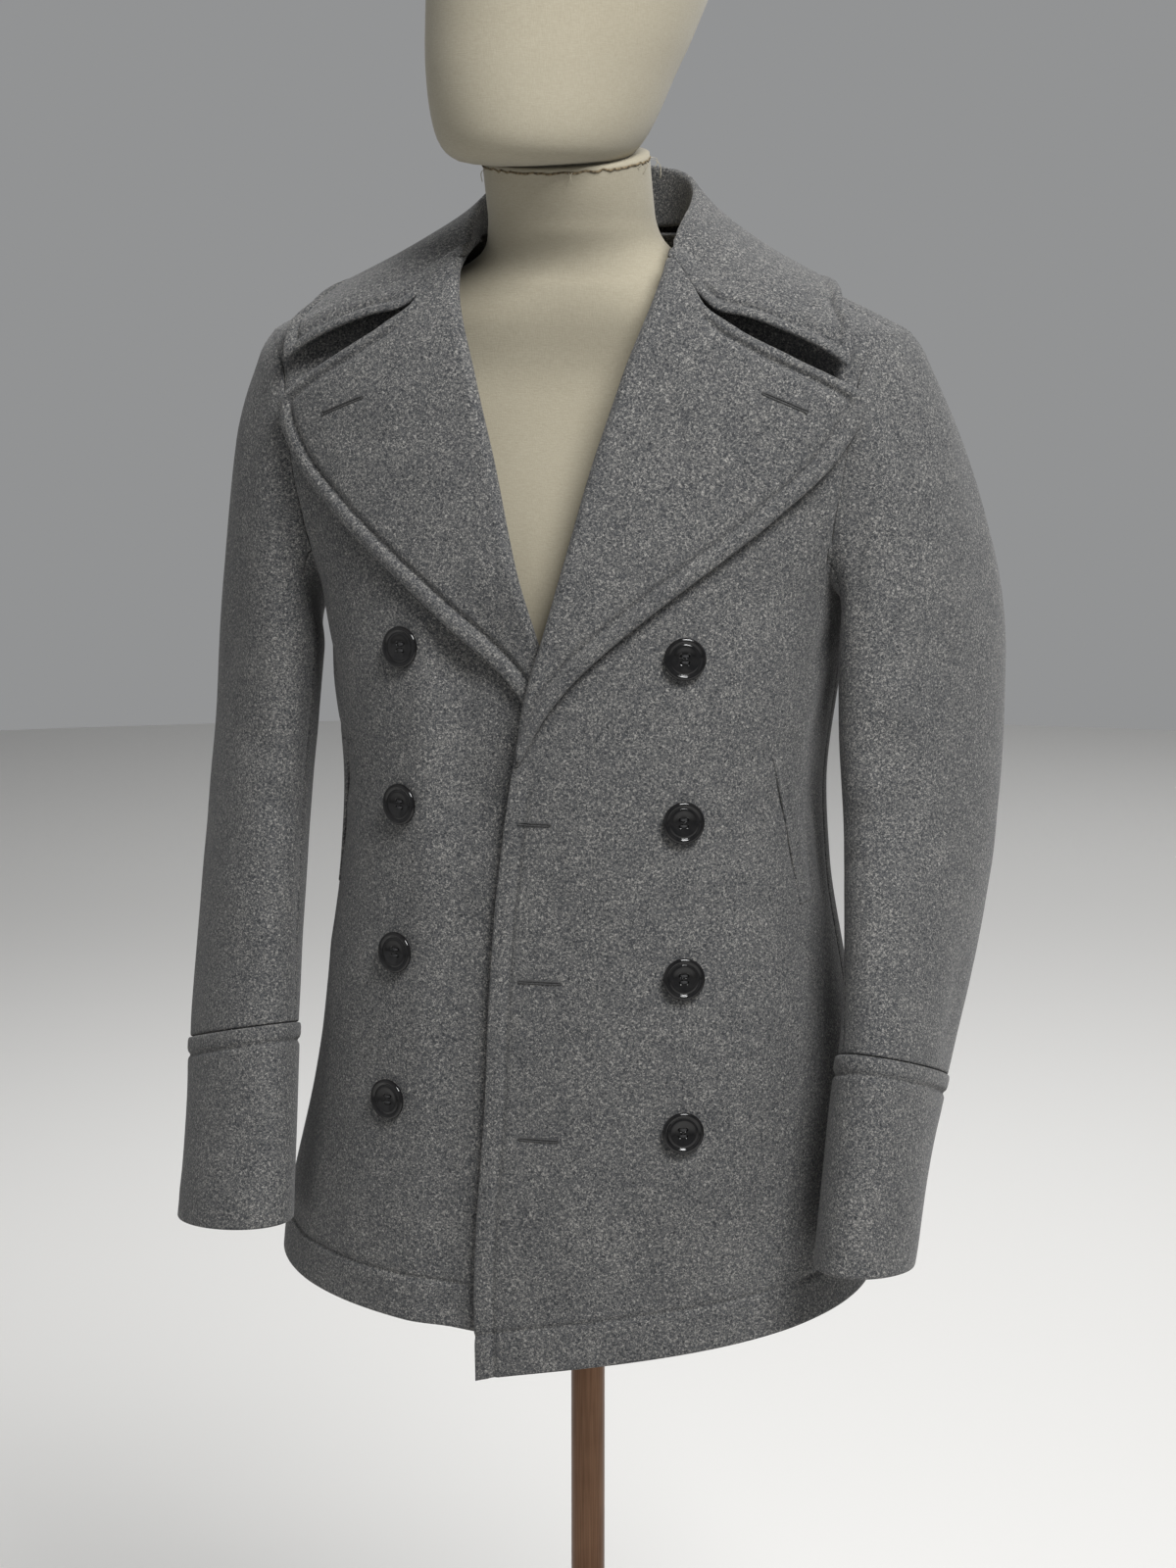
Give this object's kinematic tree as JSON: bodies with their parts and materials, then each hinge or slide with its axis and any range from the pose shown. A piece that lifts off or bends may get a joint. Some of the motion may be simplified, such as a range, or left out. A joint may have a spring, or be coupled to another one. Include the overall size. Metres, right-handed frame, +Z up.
{
  "type": "pea coat on a dress form",
  "caption": "Double-breasted wool pea coat with broad notched lapels, slanted pockets and turned-back cuffs, worn by an egg-headed dress form on a round stand.",
  "frame": {"origin": "centre of the underside of the stand's round base, on the floor", "axes": "+Z up; -Y is the way the coat faces; +X is towards the wearer's left, the side whose front lies on top"},
  "size_m": [0.5925, 0.3504, 1.763],
  "materials": {
    "wool": "matt milled wool",
    "horn": "polished black",
    "linen": "smooth stretched linen",
    "bronze": "brushed bronze"
  },
  "bodies": {
    "root": {"back_left": "wool", "front_left": "wool", "lapel_left": "wool", "sleeve_upper_left": "wool", "sleeve_under_left": "wool", "cuff_left": "wool", "pocket_welt_left": "wool", "back_right": "wool", "front_right": "wool", "lapel_right": "wool", "sleeve_upper_right": "wool", "sleeve_under_right": "wool", "cuff_right": "wool", "pocket_welt_right": "wool", "collar": "wool", "button_left_1": "horn", "button_left_2": "horn", "button_left_3": "horn", "button_left_4": "horn", "button_right_1": "horn", "button_right_2": "horn", "button_right_3": "horn", "button_right_4": "horn", "form_torso": "linen", "form_head": "linen", "stand_pole": "bronze", "stand_base": "bronze", "stand_collar": "bronze"}
  },
  "joints": []
}
